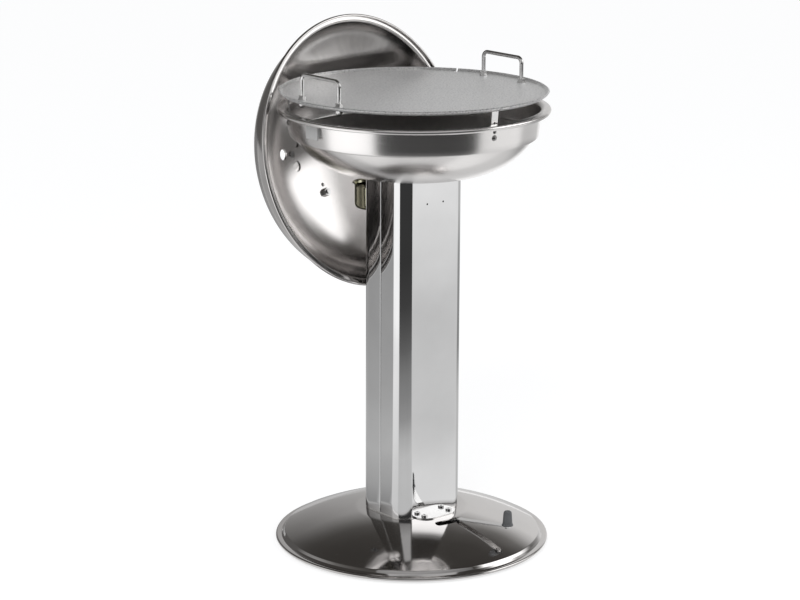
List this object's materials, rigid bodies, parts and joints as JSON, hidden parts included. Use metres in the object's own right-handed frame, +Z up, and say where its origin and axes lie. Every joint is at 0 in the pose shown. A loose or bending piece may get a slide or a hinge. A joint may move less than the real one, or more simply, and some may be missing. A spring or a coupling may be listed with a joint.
{
  "type": "column charcoal grill",
  "caption": "Round column grill: fire bowl with a lift-off griddle plate, domed lid hooked on the rim behind, air lever on a dished base and a hanging drip cup.",
  "frame": {"origin": "where the column axis meets the floor", "axes": "+Z up, -Y to the front (the side of the air lever), +X to the right seen from the front"},
  "size_m": [0.493, 0.5078, 0.9208],
  "materials": {
    "polished_steel": "mirror polished",
    "satin_steel": "satin",
    "griddle_steel": "blasted",
    "bright_fastener": "bright",
    "hidden_steel": "plain",
    "fire_steel": "heat tinted",
    "ballast": "painted",
    "knob": "matt"
  },
  "bodies": {
    "stand": {"ballast_plate": "ballast", "ballast_screws": "hidden_steel", "ballast_pillars": "hidden_steel", "base_dish": "polished_steel", "foot_plate": "satin_steel", "foot_screws": "bright_fastener", "foot_nuts": "hidden_steel", "shutter_bolt": "hidden_steel", "shutter_nut": "hidden_steel", "column_front_shell": "polished_steel", "column_rear_shell": "polished_steel", "seam_rivets": "bright_fastener", "column_head_plate": "hidden_steel", "tie_rods": "hidden_steel", "rod_foot_nuts": "hidden_steel", "rod_head_nuts": "bright_fastener", "fire_bowl": "satin_steel", "griddle_support_front": "satin_steel", "griddle_support_right": "satin_steel", "griddle_support_left": "satin_steel", "support_screws": "bright_fastener", "support_pins": "bright_fastener", "support_nuts": "bright_fastener", "side_hook": "satin_steel", "side_hook_rivets": "bright_fastener", "cup_bracket": "satin_steel", "cup_bracket_screws": "bright_fastener"},
    "air_control": {"air_shutter": "hidden_steel", "air_lever": "satin_steel", "lever_rivets": "hidden_steel", "lever_knob": "knob", "lever_knob_screw": "bright_fastener"},
    "burner_pot": {"fire_pot": "fire_steel"},
    "pot_grate": {"fire_grate": "fire_steel"},
    "griddle": {"griddle_plate": "griddle_steel", "griddle_handle_right": "polished_steel", "griddle_handle_left": "polished_steel", "handle_washers": "bright_fastener", "handle_nuts": "bright_fastener", "handle_cap_nuts": "bright_fastener"},
    "cup": {"drip_cup": "satin_steel", "cup_hook": "satin_steel", "cup_hook_rivets": "bright_fastener"},
    "lid": {"lid_shell": "polished_steel", "lid_vent_rivet": "bright_fastener", "lid_knob": "knob", "lid_knob_stud": "bright_fastener", "lid_knob_pin": "bright_fastener", "lid_knob_nut": "bright_fastener", "lid_hook": "satin_steel", "lid_hook_rivets": "bright_fastener"},
    "lid_vent": {"lid_vent_disc": "polished_steel"}
  },
  "joints": [
    {"name": "air_lever_swing", "type": "hinge", "parent": "stand", "child": "air_control", "pos_m": [0, 0, 0.0553], "axis": [0, 0, 1], "range_deg": [-20, 0]},
    {"name": "pot_lift", "type": "slide", "parent": "stand", "child": "burner_pot", "axis": [0, 0, 1], "range_m": [0, 0.07]},
    {"name": "grate_lift", "type": "slide", "parent": "burner_pot", "child": "pot_grate", "axis": [0, 0, 1], "range_m": [0, 0.055]},
    {"name": "griddle_lift_off", "type": "slide", "parent": "stand", "child": "griddle", "axis": [0, -0.6157, 0.788], "range_m": [0, 0.3]},
    {"name": "cup_lift_off", "type": "slide", "parent": "stand", "child": "cup", "axis": [0, 0, 1], "range_m": [0, 0.03]},
    {"name": "lid_lift_off", "type": "slide", "parent": "stand", "child": "lid", "axis": [-0.0678, 0.7039, 0.7071], "range_m": [0, 0.4]},
    {"name": "lid_vent_turn", "type": "hinge", "parent": "lid", "child": "lid_vent", "pos_m": [-0.08126, 0.2428, 0.66794], "axis": [-0.2427, 0.9507, -0.1931], "range_deg": [0, 60]}
  ]
}
